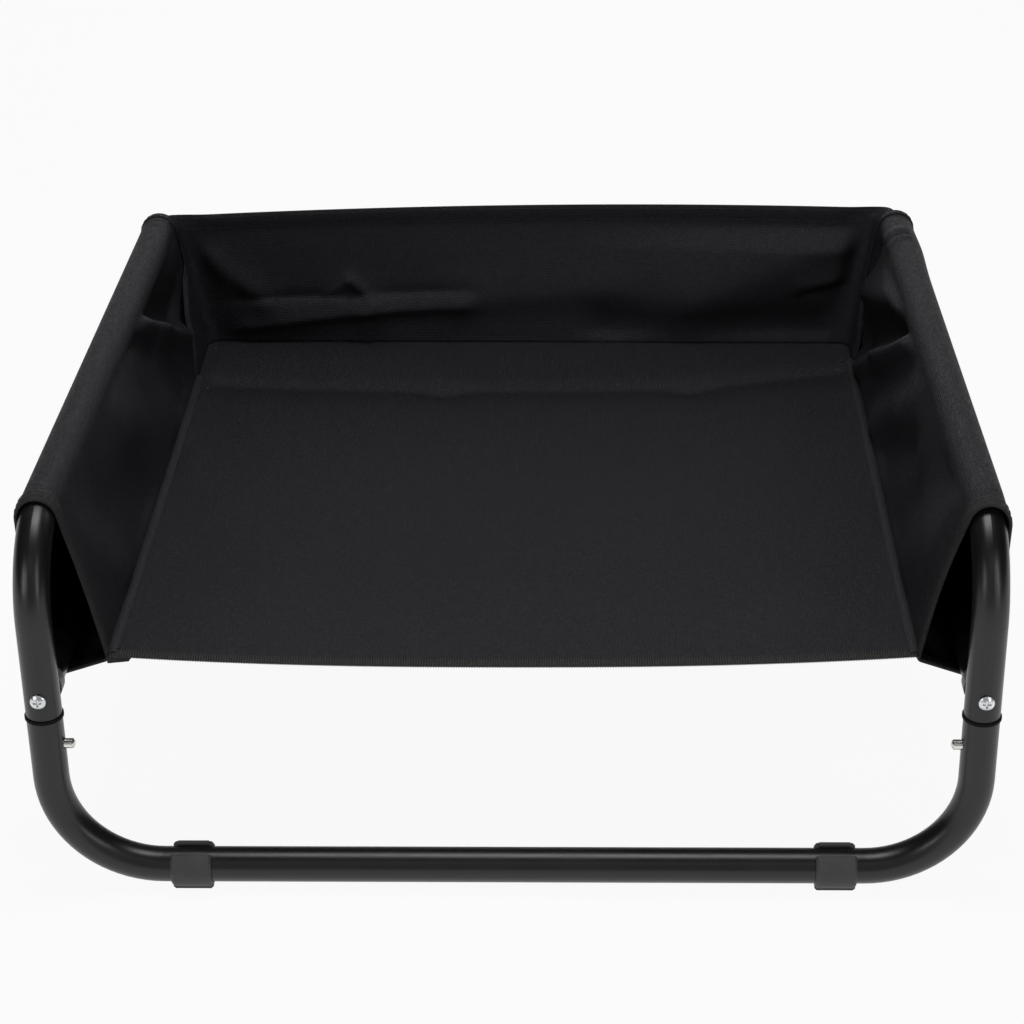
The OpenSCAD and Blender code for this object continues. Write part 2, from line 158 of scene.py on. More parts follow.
def fold_height(u, v, folds):
    """Sum of folds at points (u, v). Each is (start, end, widths, height, power), in mm, with a width on
    the left and one on the right of its run from start to end, or one for both."""
    total = np.zeros(np.broadcast(u, v).shape)
    for (u0, v0), (u1, v1), widths, height, power in folds:
        run = math.hypot(u1 - u0, v1 - v0) * MM
        du, dv = u - u0 * MM, v - v0 * MM
        along = (du * (u1 - u0) + dv * (v1 - v0)) * MM / run
        across = (du * (v1 - v0) - dv * (u1 - u0)) * MM / run
        beyond = np.maximum(0, np.maximum(-along, along - run))
        left, right = widths if isinstance(widths, tuple) else (widths, widths)
        far = np.hypot(across / np.where(across > 0, right, left), beyond / max(left, right)) / MM
        total += height * MM * np.exp(-far ** power)
    return total


# Meshes
def mesh_object(name, points, faces, material, uv=None):
    """A smooth mesh, with uv as one pair for each corner of each face."""
    mesh = bpy.data.meshes.new(name)
    mesh.from_pydata(np.asarray(points).reshape(-1, 3).tolist(), [], np.asarray(faces).tolist())
    if uv is not None:
        mesh.uv_layers.new(name="flat").data.foreach_set("uv", np.asarray(uv, np.float32).ravel())
    mesh.polygons.foreach_set("use_smooth", [True] * len(mesh.polygons))
    mesh.materials.append(material)
    mesh.update()
    piece = bpy.data.objects.new(name, mesh)
    bpy.context.scene.collection.objects.link(piece)
    return piece


def grid_faces(rows, cols, closed=False):
    """Quads of a grid of points whose rows may close on themselves."""
    i, j = np.meshgrid(np.arange(rows - 1), np.arange(cols if closed else cols - 1), indexing="ij")
    k = (j + 1) % cols
    return np.stack([i * cols + j, i * cols + k, (i + 1) * cols + k, (i + 1) * cols + j], -1).reshape(-1, 4)


def flat_uv(points, closed=False):
    """Distances over a grid of points, along its rows and its columns, for each quad's corners."""
    ring = np.concatenate([points, points[:, :1]], 1) if closed else points
    u = np.cumsum(np.linalg.norm(np.diff(ring, axis=1), axis=2), 1)
    v = np.cumsum(np.linalg.norm(np.diff(ring, axis=0), axis=2), 0)
    u = np.concatenate([np.zeros((len(u), 1)), u], 1)
    v = np.concatenate([np.zeros((1, v.shape[1])), v], 0)
    uv = np.stack([u, v], -1)
    quads = np.stack([uv[:-1, :-1], uv[:-1, 1:], uv[1:, 1:], uv[1:, :-1]], 2)
    return quads.reshape(-1, 2)


def cloth_object(name, points, material, closed=False):
    """A sheet of cloth through a grid of points, given its thickness."""
    rows, cols = points.shape[:2]
    piece = mesh_object(name, points, grid_faces(rows, cols, closed), material, flat_uv(points, closed))
    solid = piece.modifiers.new("Thickness", "SOLIDIFY")
    solid.thickness = layer_t
    solid.offset = 0
    return piece


def spread_along(line, normals, step, inset=0):
    """Points, tangents and normals at even steps along a line of points."""
    length = np.concatenate([[0], np.cumsum(np.linalg.norm(np.diff(line, axis=0), axis=1))])
    count = max(2, int((length[-1] - 2 * inset) / step))
    at = np.linspace(inset, length[-1] - inset, count)
    place = np.stack([np.interp(at, length, line[:, k]) for k in range(3)], 1)
    normal = np.stack([np.interp(at, length, normals[:, k]) for k in range(3)], 1)
    ahead = np.stack([np.interp(at + step / 4, length, line[:, k]) for k in range(3)], 1)
    behind = np.stack([np.interp(at - step / 4, length, line[:, k]) for k in range(3)], 1)
    tangent = ahead - behind
    tangent /= np.linalg.norm(tangent, axis=1, keepdims=True)
    normal -= tangent * (normal * tangent).sum(1, keepdims=True)
    normal /= np.linalg.norm(normal, axis=1, keepdims=True)
    return place, tangent, normal


def thread_points(tracks, radius, sides=6):
    """Points and faces of thin threads, one along each track of points, tapered at both ends."""
    tracks = np.asarray(tracks)
    count, rings = tracks.shape[:2]
    tangent = np.gradient(tracks, axis=1)
    tangent /= np.linalg.norm(tangent, axis=2, keepdims=True)
    first = np.cross(tangent, ACROSS_THREADS)
    first /= np.linalg.norm(first, axis=2, keepdims=True)
    second = np.cross(tangent, first)
    swell = np.full(rings, radius)
    swell[0] = swell[-1] = thread_end * radius
    turn = np.arange(sides) * 2 * np.pi / sides
    ring = first[:, :, None] * np.cos(turn)[:, None] + second[:, :, None] * np.sin(turn)[:, None]
    points = tracks[:, :, None] + ring * swell[None, :, None, None]
    faces = grid_faces(rings, sides, closed=True)
    every = (faces[None] + (np.arange(count) * rings * sides)[:, None, None]).reshape(-1, 4)
    return points.reshape(-1, 3), every


def stitch_tracks(place, tangent, normal):
    """One arched track for each stitch, whose ends dip into the cloth."""
    along = np.linspace(-0.5, 0.5, TRACK_POINTS)
    arch = stitch_lift * (1 - (2 * along) ** 4) - stitch_dip * (2 * along) ** 4
    return place[:, None] + tangent[:, None] * (along * stitch_l)[:, None] + normal[:, None] * arch[:, None]


def thread_object(name, tracks, material, radius=thread_r):
    """Threads along tracks of points, as one piece of the sling."""
    points, faces = thread_points(tracks, radius)
    piece = mesh_object(name, points, faces, material)
    return dress(piece, "sling_cloth")


def dress(piece, slot, *replaced):
    """Fixes a piece to the frame's body, and hides the nodes it stands for. Its slot is not used."""
    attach(piece, "frame")
    if replaced:
        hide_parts(*replaced)
    return piece


# Materials
class Nodes:
    """Short calls that add shader nodes to one material."""

    def __init__(self, name):
        self.material = bpy.data.materials.new(name)
        self.material.use_nodes = True
        self.tree = self.material.node_tree
        self.shader = self.tree.nodes["Principled BSDF"]

    def add(self, kind, **settings):
        node = self.tree.nodes.new("ShaderNode" + kind)
        for key, value in settings.items():
            setattr(node, key, value)
        return node

    def link(self, source, target):
        self.tree.links.new(source, target)

    def math(self, operation, a, b=0.0, c=0.0):
        node = self.add("Math", operation=operation)
        for socket, value in zip(node.inputs, (a, b, c)):
            if isinstance(value, (int, float)):
                socket.default_value = value
            else:
                self.link(value, socket)
        return node.outputs[0]

    def mix(self, share, a, b):
        """a where share is 0, and b where it is 1."""
        return self.math("MULTIPLY_ADD", share, self.math("SUBTRACT", b, a), a)

    def total(self, *parts):
        """Sum of values, each with its weight."""
        value, weight = parts[0]
        result = self.math("MULTIPLY", value, weight)
        for value, weight in parts[1:]:
            result = self.math("MULTIPLY_ADD", value, weight, result)
        return result

    def noise(self, vector, scale, detail=2.0, roughness=0.5):
        node = self.add("TexNoise")
        node.inputs["Scale"].default_value = scale
        node.inputs["Detail"].default_value = detail
        node.inputs["Roughness"].default_value = roughness
        self.link(vector, node.inputs["Vector"])
        return node.outputs["Fac"]

    def ramp(self, value, low, high, start=0.0, end=1.0):
        """A value or colour that runs from low to high as value runs from start to end."""
        node = self.add("ValToRGB")
        node.color_ramp.elements[0].position = start
        node.color_ramp.elements[1].position = end
        for element, shade in zip(node.color_ramp.elements, (low, high)):
            element.color = (*shade, 1) if isinstance(shade, tuple) else (shade, shade, shade, 1)
        self.link(value, node.inputs["Fac"])
        return node.outputs["Color"]

    def place(self):
        return self.add("TexCoord").outputs["Object"]

    def bump(self, height, strength, distance):
        node = self.add("Bump")
        node.inputs["Strength"].default_value = strength
        node.inputs["Distance"].default_value = distance
        self.link(height, node.inputs["Height"])
        self.link(node.outputs["Normal"], self.shader.inputs["Normal"])

    def set(self, **values):
        for key, value in values.items():
            socket = self.shader.inputs[key.replace("_", " ")]
            if isinstance(value, bpy.types.NodeSocket):
                self.link(value, socket)
            else:
                socket.default_value = (*value, 1) if isinstance(value, tuple) else value


# Yarns of the weave: how round they are, how far they dip under each other, and how uneven they run
yarn_round = 0.6
yarn_dip = 0.65
slub_across = 0.73
slub_along = 0.15


def yarns(n, across, along):
    """Height of parallel yarns, one for each whole step of across, and their unevenness."""
    rounded = n.math("SINE", n.math("MULTIPLY", n.math("FRACT", across), math.pi))
    crown = n.math("SINE", n.math("MULTIPLY", n.math("FRACT", along), math.pi))
    over = n.math("MULTIPLY_ADD", crown, yarn_dip, 1 - yarn_dip)
    height = n.math("MULTIPLY", n.math("POWER", rounded, yarn_round), over)
    each = n.add("CombineXYZ")
    n.link(n.math("MULTIPLY", n.math("FLOOR", across), slub_across), each.inputs["X"])
    n.link(n.math("MULTIPLY", along, slub_along), each.inputs["Y"])
    return height, n.noise(each.outputs[0], 1.0, 2.0, 0.6)


def tape_fold_and_painted_top_light(n, width, place):
    """Share of a turned tape's light tone: all along its fold, over the rail as a painted highlight where
    light falls on its top, and little elsewhere.
    """
    fold_end = tape_hidden_w + (math.pi - 1) * layer_t + tape_fold_w
    beyond = n.math("DIVIDE", n.math("SUBTRACT", width, fold_end), tape_fade_w)
    fold = n.ramp(beyond, 1.0, tape_dull)
    height = n.add("SeparateXYZ")
    n.link(place, height.inputs[0])
    # Painted highlight: the tape's tone lightens over the rail's top, where light falls on it
    above = n.math("DIVIDE", n.math("SUBTRACT", height.outputs["Z"], rail_z - tape_top_light_h), tape_top_light_h)
    return n.math("MAXIMUM", fold, n.ramp(above, tape_dull, 1.0))


def woven(name, dark, light, pitch=1.2 * MM, tone_share=None):
    """Plain-weave polyester: uneven yarns that pass over and under each other, with faint fading. A tone
    share function, if given, says how much of the light tone each place shows, such as the tape's painted
    highlight."""
    n = Nodes(name)
    flat = n.add("SeparateXYZ")
    n.link(n.add("UVMap", uv_map="flat").outputs["UV"], flat.inputs[0])
    u = n.math("DIVIDE", flat.outputs["X"], pitch)
    v = n.math("DIVIDE", flat.outputs["Y"], pitch)
    over = n.math("MODULO", n.math("ADD", n.math("FLOOR", u), n.math("FLOOR", v)), 2.0)
    warp, warp_slub = yarns(n, u, v)
    weft, weft_slub = yarns(n, v, u)
    yarn = n.mix(over, weft, warp)
    slub = n.mix(over, weft_slub, warp_slub)
    place = n.place()
    fade = n.noise(place, 9.0, 4.0, 0.55)
    fleck = n.noise(place, 640.0, 2.0, 0.7)
    tone = n.total((yarn, 0.4), (slub, 0.6), (fade, 0.2), (fleck, 0.3))
    if tone_share:
        tone = n.math("MULTIPLY", tone, tone_share(n, flat.outputs["Y"], place))
    uneven = n.total((slub, 0.4), (fleck, 0.6))
    n.set(Base_Color=n.ramp(tone, dark, light, 0.45, 0.95))
    n.set(Roughness=n.ramp(uneven, 0.45, 0.82, 0.36, 0.64))
    n.set(Specular_IOR_Level=0.47, Specular_Tint=(0.92, 0.895, 1.0))
    n.bump(n.total((yarn, 1.0), (slub, 3.2), (fleck, 1.4)), 0.85, 0.28 * MM)
    return n.material


def sewing_thread(name, dark, light):
    """Twisted polyester thread, with a fine slant of light and dark along it."""
    n = Nodes(name)
    place = n.place()
    twist = n.add("TexWave", wave_type="BANDS", bands_direction="DIAGONAL")
    twist.inputs["Scale"].default_value = 900
    n.link(place, twist.inputs["Vector"])
    fibre = n.noise(place, 2500.0, 2.0)
    tone = n.total((twist.outputs["Fac"], 0.6), (fibre, 0.4))
    n.set(Base_Color=n.ramp(tone, dark, light), Roughness=n.ramp(fibre, 0.5, 0.75))
    n.bump(tone, 0.4, 0.08 * MM)
    return n.material


def powder_coat(name):
    """Satin black powder coat with its fine orange peel and a few dull rubs."""
    n = Nodes(name)
    place = n.place()
    peel = n.noise(place, 900.0, 2.0, 0.55)
    cloudy = n.noise(place, 25.0, 3.0)
    rub = n.noise(place, 110.0, 4.0, 0.65)
    n.set(Base_Color=n.ramp(cloudy, (0.0055, 0.0055, 0.0058), (0.0085, 0.0085, 0.009), 0.3, 0.7))
    n.set(Roughness=n.ramp(n.total((rub, 0.5), (cloudy, 0.5)), 0.3, 0.38, 0.35, 0.7))
    n.set(Specular_IOR_Level=0.5)
    n.bump(peel, 0.1, 0.12 * MM)
    return n.material


def moulded(name, dark, light, roughness, gloss):
    """Moulded plastic with a spark-eroded grain and faint flow marks."""
    n = Nodes(name)
    place = n.place()
    grain = n.noise(place, 1600.0, 2.0, 0.6)
    flow = n.noise(place, 60.0, 3.0)
    n.set(Base_Color=n.ramp(flow, dark, light, 0.3, 0.7))
    n.set(Roughness=n.ramp(grain, roughness - 0.06, roughness + 0.08, 0.3, 0.7), Specular_IOR_Level=gloss)
    n.bump(grain, 0.3, 0.1 * MM)
    return n.material


def metal(name, dark, light, low, high):
    """Plated or bare steel, a little uneven in tone and gloss."""
    n = Nodes(name)
    place = n.place()
    cloud = n.noise(place, 350.0, 4.0, 0.6)
    fine = n.noise(place, 3000.0, 2.0)
    n.set(Base_Color=n.ramp(cloud, dark, light, 0.3, 0.7), Metallic=1.0)
    n.set(Roughness=n.ramp(n.total((cloud, 0.6), (fine, 0.4)), low, high, 0.3, 0.7))
    n.bump(fine, 0.1, 0.05 * MM)
    return n.material


cloth_material = woven("black_woven_cloth", (0.0008, 0.0007, 0.001), (0.005, 0.0046, 0.006))
tape_material = woven("hem_tape", (0.002, 0.0018, 0.0018), (0.026, 0.0236, 0.0196), 0.8 * MM, tape_fold_and_painted_top_light)
# The floor seams' ribs: their lighter tone is a painted sheen for their raised, upward-facing top
seam_sheen_material = woven("seam_cloth_painted_sheen", (0.003, 0.003, 0.0032), (0.018, 0.0174, 0.019))
thread_material = sewing_thread("dark_thread", (0.0035, 0.0033, 0.0031), (0.013, 0.0122, 0.0116))
overlock_material = sewing_thread("overlock_thread", (0.016, 0.0146, 0.012), (0.076, 0.069, 0.058))
coat_material = powder_coat("black_powder_coat")
NODE_MATERIALS = {
    "rail": coat_material,
    "u_leg": coat_material,
    "side_bar": coat_material,
    # The collars' black plastic is darker than the coat and also stands for the shadow in the gap at each
    # tube joint: partly painted shade
    "collar": moulded("black_ring_plastic_and_gap_shade", (0.0015, 0.0015, 0.0016), (0.0025, 0.0025, 0.0027), 0.7, 0.15),
    "bar_saddle": moulded("grey_saddle_plastic", (0.09, 0.09, 0.094), (0.13, 0.13, 0.135), 0.45, 0.5),
    "foot": moulded("grey_foot_plastic", (0.047, 0.047, 0.05), (0.064, 0.064, 0.068), 0.6, 0.5),
    "frame_screw": metal("zinc_plate", (0.62, 0.64, 0.66), (0.82, 0.83, 0.84), 0.22, 0.38),
    "bar_nut": metal("zinc_plate_nut", (0.6, 0.62, 0.64), (0.78, 0.79, 0.8), 0.25, 0.42),
    "snap_button": metal("nickel_plate", (0.66, 0.64, 0.6), (0.8, 0.78, 0.75), 0.16, 0.28),
    "spigot": metal("bare_tube_steel", (0.34, 0.34, 0.35), (0.5, 0.5, 0.51), 0.3, 0.5),
    "snap_spring": metal("spring_steel", (0.3, 0.31, 0.34), (0.46, 0.47, 0.5), 0.22, 0.36),
}
for name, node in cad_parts.items():
    kind = next((k for k in NODE_MATERIALS if name.endswith(k)), None)
    if kind:
        node.data.materials.clear()
        node.data.materials.append(NODE_MATERIALS[kind])


# Leaf springs
def leaf_spring(corner):
    """A copy of a snap spring, with a mesh of its own, that takes the imported one's place. The real spring
    closes up when its button is pressed.
    """
    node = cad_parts[f"{corner}_snap_spring"]
    piece = bpy.data.objects.new(f"{corner}_leaf_spring", node.data.copy())
    bpy.context.scene.collection.objects.link(piece)
    dress(piece, "bare_steel", f"{corner}_snap_spring")
    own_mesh(piece)


for corner in ("front_left", "front_right", "rear_left", "rear_right"):
    leaf_spring(corner)


# Sleeves: cloth drawn taut round three supports (x, z, radius): the rail, the floor seam and the side bar
def rail_support(y):
    """The rail at depth y, whose top edge dips where the rail bends down."""
    bend = np.maximum(0, abs(y) - rail_straight_y)
    top_edge = rail_z - rail_bend_r + np.sqrt((rail_bend_r + tube_r) ** 2 - bend ** 2)
    return np.array([rail_x, top_edge - tube_r, tube_r + sleeve_slack + cloth_t / 2])


def seam_x(y):
    return seam_front_x + seam_flare * (y - sleeve_front) / (sleeve_rear - sleeve_front)


def seam_support(y):
    return np.array([seam_x(y), floor_z, seam_r + cloth_t / 2])


bar_support = np.array([rail_x, bar_z, bar_r + sleeve_slack + cloth_t / 2])


def taut_angle(a, b):
    """Angle of the outward normal where cloth runs straight from support a to support b."""
    dx, dz = b[0] - a[0], b[1] - a[1]
    return (math.atan2(dz, dx) - math.acos((a[2] - b[2]) / math.hypot(dx, dz))) % (2 * math.pi)


def on_support(support, angle):
    return support[:2] + support[2] * np.stack([np.cos(angle), np.sin(angle)], -1)


# How the loop's points are shared out over its stretches
ON_RAIL, ON_WALL, ON_SEAM, ON_UNDER, ON_BAR, ON_OUTSIDE = range(6)
LOOP_COUNTS = {ON_RAIL: 30, ON_WALL: 44, ON_SEAM: 5, ON_UNDER: 10, ON_BAR: 18, ON_OUTSIDE: 32}


def sleeve_loop(y):
    """Points (x, z), normal angles, stretches and shares of each stretch of the loop at depth y."""
    rail, seam = rail_support(y), seam_support(y)
    up = taut_angle(bar_support, rail)
    start = up - 2 * math.pi if up > math.pi else up
    down = taut_angle(rail, seam)
    under = taut_angle(seam, bar_support)
    turns = {
        ON_RAIL: (rail, start, down),
        ON_SEAM: (seam, down, under),
        ON_BAR: (bar_support, under, start + 2 * math.pi),
    }
    runs = {
        ON_WALL: (rail, seam, down),
        ON_UNDER: (seam, bar_support, under),
        ON_OUTSIDE: (bar_support, rail, start),
    }
    points, angles, stretch, shares = [], [], [], []
    for part, count in LOOP_COUNTS.items():
        share = np.arange(count) / count
        if part in turns:
            support, first, last = turns[part]
            angle = between(first, last, share)
            place = on_support(support, angle)
        else:
            a, b, normal = runs[part]
            angle = np.full(count, normal)
            place = between(on_support(a, normal), on_support(b, normal), share[:, None])
        points.append(place)
        angles.append(angle)
        stretch.append(np.full(count, part))
        shares.append(share)
    return tuple(np.concatenate(values) for values in (points, angles, stretch, shares))


def turned_rows(edge, inward, hidden, shown, r):
    """Rows (place, lift) of cloth turned round an edge, from its hidden end to its shown end."""
    angles = np.linspace(0, math.pi, ARC_ROWS)
    below = [(edge + inward * w, -2 * r) for w in np.linspace(hidden, r, FLAT_ROWS)]
    turn = [(edge + inward * r * (1 - math.sin(a)), -r * (1 + math.cos(a))) for a in angles]
    above = [(edge + inward * w, 0.0) for w in np.linspace(r, shown, FLAT_ROWS)]
    return below[:-1] + turn + above[1:]


# Folds of the inner walls as (depth, height) pairs: start, end, width, height towards the middle, power
WALL_FOLDS = {
    "left": [
        ((192, 158), (106, 202), (12, 6), 5, 1.5),
        ((106, 202), (54, 232), (12, 6), 5, 1.5),
        ((202, 168), (112, 212), (6, 28), -15, 2),
        ((112, 212), (60, 236), (6, 14), -8, 2),
        ((71, 198), (18, 230), 12, -4, 2),
        ((120, 165), (20, 190), 26, -5, 2),
        ((60, 160), (-60, 205), 22, 4, 2),
        ((-60, 160), (-150, 190), 26, -4, 2),
        ((-150, 150), (-215, 200), 20, 2.5, 2),
    ],
    "right": [
        ((-240, 205), (-150, 190), 26, 4, 2),
        ((190, 130), (90, 186), (13, 8), 6, 1.6),
        ((90, 186), (15, 230), (13, 8), 6, 1.6),
        ((208, 142), (98, 200), (8, 18), -9.5, 2),
        ((98, 200), (30, 236), (8, 14), -9, 2),
        ((195, 190), (60, 232), (9, 16), 8, 2),
        ((203, 232), (211, 188), 8, -7, 2),
        ((70, 172), (5, 212), 18, -3.5, 2),
        ((60, 150), (-40, 205), 18, 4, 2),
        ((10, 155), (-60, 185), 20, -5, 2),
        ((-90, 165), (-170, 215), 24, -4, 2),
        ((-140, 150), (-215, 190), 22, 2.5, 2),
    ],
}
# Turn of the cloth over the rail in degrees, and its puckers there as (depth, turn) pairs like the folds
RAIL_TURN = (30, 180)
RAIL_PUCKERS = {
    "left": [((214, 60), (217, 150), 3, 0.8, 2), ((206, 80), (208, 130), 3, 0.5, 2)],
    "right": [
        ((165, 30), (165, 110), 34, 1.2, 2),
        ((188, 92), (187, 180), 6, 1.5, 2),
        ((178, 92), (177, 180), 3, -1.2, 2),
        ((171, 92), (169, 180), 5, 1.5, 2),
    ],
}
# Where each end of the back wall is sewn on: its depths at the floor and at its top, and that top's height
FLAP_EDGE = {"left": (160 * MM, 232 * MM), "right": (188 * MM, 245 * MM)}
FLAP_TOP = {"left": 219 * MM, "right": 235 * MM}
least_flap_w = 1 * MM

# The back wall's corners, its lean and bow at its top, and how far its right end lies behind its middle
corner_r = 10 * MM
corner_top_r = 7 * MM
back_set = 1.5 * MM
back_lean = 7.6 * MM
back_bow = 15 * MM
back_skew_low = -4 * MM
back_skew_top = 5.4 * MM
back_hem_tilt = 2.4 * MM


def back_share(z):
    """Share of the back wall's height that lies below z."""
    return np.clip((z - floor_z) / (top_z - floor_z), 0, 1)


def back_end_y(name, z):
    """Depth of one end of the back wall at height z."""
    share = back_share(z)
    skew = SIDES[name] * between(back_skew_low, back_skew_top, share)
    return back_y + back_set + back_lean * share + skew


def flap_span(name, z):
    """Depths at height z where a flap of the back wall starts on its side wall and where it turns off."""
    turn_y = back_end_y(name, z) - between(corner_r, corner_top_r, back_share(z))
    low, high = FLAP_EDGE[name]
    edge_y = between(low, high, np.clip((z - floor_z) / (FLAP_TOP[name] - floor_z), 0, 1))
    return np.minimum(edge_y, turn_y - least_flap_w), turn_y


# Widths and shares over which a sleeve's cloth is held to its taut loop: at its ends, rail, seam and flap
front_hold_w = 12 * MM
front_free_w = 25 * MM
rear_hold_w = 3 * MM
rear_free_w = 12 * MM
rail_hold = 0.12
seam_hold = 0.08
flap_hold_w = 18 * MM
# How far a side wall stands back behind a flap, from the flap's edge to its turn
flap_room = 3.2 * MM
flap_room_at_turn = 0.9 * MM
flap_room_w = 8 * MM
# Slack of the outer side and the underside, in waves along the sleeve at rates in radians per metre
outside_slack = 1.2 * MM
outside_wave = 1.5 * MM
outside_rate = 21
outside_phase = 0.6
under_slack = 0.8 * MM
under_wave = 0.5
under_rate = 33


def wall_fold(name, y, z, hollow=0.4, ridge=0.12):
    """Folds of a side wall. A share of its hollows and one of its ridges is left at the flap's edge, and
    runs out under the flap."""
    edge_y, turn_y = flap_span(name, z)
    fold = fold_height(y, z, WALL_FOLDS[name])
    at_edge = np.where(fold < 0, hollow, ridge)
    ahead = between(at_edge, 1, smooth((edge_y - y) / flap_hold_w))
    return fold * ahead * smooth((turn_y - y) / (turn_y - edge_y))


def sleeve_push(name, y, z, part, share):
    """How far the cloth of a sleeve stands out from its taut loop."""
    front = smooth((y - sleeve_front - front_hold_w) / front_free_w)
    rear = smooth((sleeve_rear - rear_hold_w - y) / rear_free_w)
    held = smooth(share / rail_hold) * smooth((1 - share) / seam_hold)
    edge_y, turn_y = flap_span(name, z)
    covered = np.clip((y - edge_y) / (turn_y - edge_y), 0, 1)
    room = between(flap_room, flap_room_at_turn, smooth(covered))
    wall = wall_fold(name, y, z) - room * smooth((y - edge_y) / flap_room_w)
    swell = np.sin(math.pi * share)
    outside = (outside_wave * np.sin(y * outside_rate + outside_phase) - outside_slack) * swell
    under = -under_slack * swell * (1 + under_wave * np.sin(y * under_rate))
    pucker = fold_height(y, between(*RAIL_TURN, share) * MM, RAIL_PUCKERS[name])
    push = np.select([part == ON_WALL, part == ON_OUTSIDE, part == ON_UNDER, part == ON_RAIL],
                     [wall, outside, under, pucker], 0.0)
    return push * held * front * rear


def clear_of(support, points):
    """Loop points (x, z) moved out of a round support where they lie in it."""
    away = points - support[:2]
    reach = np.linalg.norm(away, axis=1, keepdims=True)
    return support[:2] + away * np.maximum(1, support[2] / reach)


# How far each sleeve's front end lies behind the straight one where each stretch of its loop starts, in mm
FRONT_SHIFT = {
    "left": {ON_RAIL: 4, ON_WALL: 4, ON_SEAM: 0, ON_UNDER: 0, ON_BAR: 9, ON_OUTSIDE: 9},
    "right": {ON_RAIL: -3, ON_WALL: -3, ON_SEAM: 0, ON_UNDER: 0, ON_BAR: 8, ON_OUTSIDE: 8},
}
# How far the front edge of a side wall bows in, and how far it gapes off the top of its rail
FRONT_BOW = {"left": 3 * MM, "right": 8 * MM}
END_GAPE = {"left": 0.8 * MM, "right": 1.8 * MM}
# The flare of both ends, and how far the cloth stops short of its bindings' edges
end_flare = 0.5 * MM
end_flare_w = 16 * MM
end_inset = 0.6 * MM


def front_shift(name, part, share):
    """How far back each point of a loop lies at the sleeve's front end."""
    starts = np.array([FRONT_SHIFT[name][k] for k in LOOP_COUNTS])
    bowed = np.where(part == ON_WALL, FRONT_BOW[name] * np.sin(math.pi * share), 0)
    return MM * between(starts[part], np.roll(starts, -1)[part], share) + bowed


def sleeve_grid(name, rows):
    """Points and outward normals of a sleeve for rows of (depth, lift)."""
    points, normals = [], []
    for row_y, lift in rows:
        _, _, part, share = sleeve_loop(0)
        shift = front_shift(name, part, share) * to_front(row_y)
        depth = np.clip(row_y + shift[0], sleeve_front, sleeve_rear)
        place, angle, _, _ = sleeve_loop(depth)
        y = row_y + shift
        to_end = min(row_y - sleeve_front, sleeve_rear - row_y)
        near_end = smooth((end_flare_w - to_end) / end_flare_w)
        gape = END_GAPE[name] * np.where(part == ON_RAIL, np.sin(math.pi * share) ** 2, 0) * (row_y < 0)
        out = near_end * (end_flare + gape) + sleeve_push(name, y, place[:, 1], part, share)
        turned = np.stack([np.cos(angle), np.sin(angle)], 1)
        place = clear_of(rail_support(depth), place + turned * out[:, None]) + turned * lift
        points.append(np.stack([place[:, 0], y, place[:, 1]], 1))
        normals.append(np.stack([turned[:, 0], np.zeros(len(turned)), turned[:, 1]], 1))
    flip = np.array([SIDES[name], 1, 1])
    return np.array(points) * flip, np.array(normals) * flip


# Each end of a sleeve: its depth, the way in from it, and the cloth that binds it
SLEEVE_ENDS = {"front": (sleeve_front, 1, tape_material), "rear": (sleeve_rear, -1, cloth_material)}


def sleeve(name):
    """A sleeve's cloth, and its stitches and bindings."""
    depths = np.linspace(sleeve_front + end_inset, sleeve_rear - end_inset, SLEEVE_ROWS)
    points, _ = sleeve_grid(name, [(y, 0.0) for y in depths])
    cloth = cloth_object(f"{name}_sleeve_cloth", points, cloth_material, closed=True)
    dress(cloth, "sling_cloth", f"{name}_sleeve")
    sewn = [thread_object(f"{name}_sleeve_stitches", sleeve_stitches(name), thread_material)]
    for end, (edge, inward, material) in SLEEVE_ENDS.items():
        tape = turned_rows(edge, inward, tape_hidden_w, hem_w, layer_t)
        points, _ = sleeve_grid(name, [(y, lift + layer_t) for y, lift in tape])
        binding = cloth_object(f"{name}_{end}_binding", points, material, closed=True)
        sewn.append(dress(binding, "sling_cloth"))
    return cloth, sewn


def sleeve_stitches(name):
    """Two rows of stitches round each bound end."""
    places = [edge + inward * w for edge, inward, _ in SLEEVE_ENDS.values() for w in SLEEVE_STITCH_INSETS]
    rows = [(y, stitch_on_tape) for y in places]
    tracks = []
    for line, normal in zip(*sleeve_grid(name, rows)):
        ring, around = (np.concatenate([a, a[:1]]) for a in (line, normal))
        tracks.append(stitch_tracks(*spread_along(ring, around, stitch_l + stitch_gap)))
    return np.concatenate(tracks)


# Bed floor: its folds as (across, depth) pairs, where it is held flat, its crease and its lifted front
FLOOR_FOLDS = [
    ((-225, 150), (-60, 153), (9, 16), -3.6, 1.6),
    ((-60, 153), (120, 157), (9, 16), -3.8, 1.6),
    ((120, 157), (228, 176), (9, 16), -3.4, 1.6),
    ((-225, 188), (-110, 196), 26, 2.0, 2),
    ((-228, 120), (-190, 40), 16, -1.6, 2),
    ((-225, 20), (-150, -120), 22, 1.4, 2),
    ((222, 110), (180, 10), 18, -1.4, 2),
    ((222, -60), (150, -190), 26, 1.2, 2),
    ((-60, -60), (40, 60), 60, -1.5, 2),
]
floor_side_w = 14 * MM
floor_rear_w = 12 * MM
crease_y = 156 * MM
sag_power = 2.4
front_side_lift = 1.8 * MM
front_dip = 1.2 * MM
first_row_gap = 2.6 * MM


def back_line_y(x):
    """Depth of the seam between floor and back wall."""
    return back_y + back_set + back_skew_low * x / seam_front_x


def floor_half_x(y):
    """Half of the floor's width at depth y."""
    return seam_x(y) - seam_r - cloth_t - sew_gap


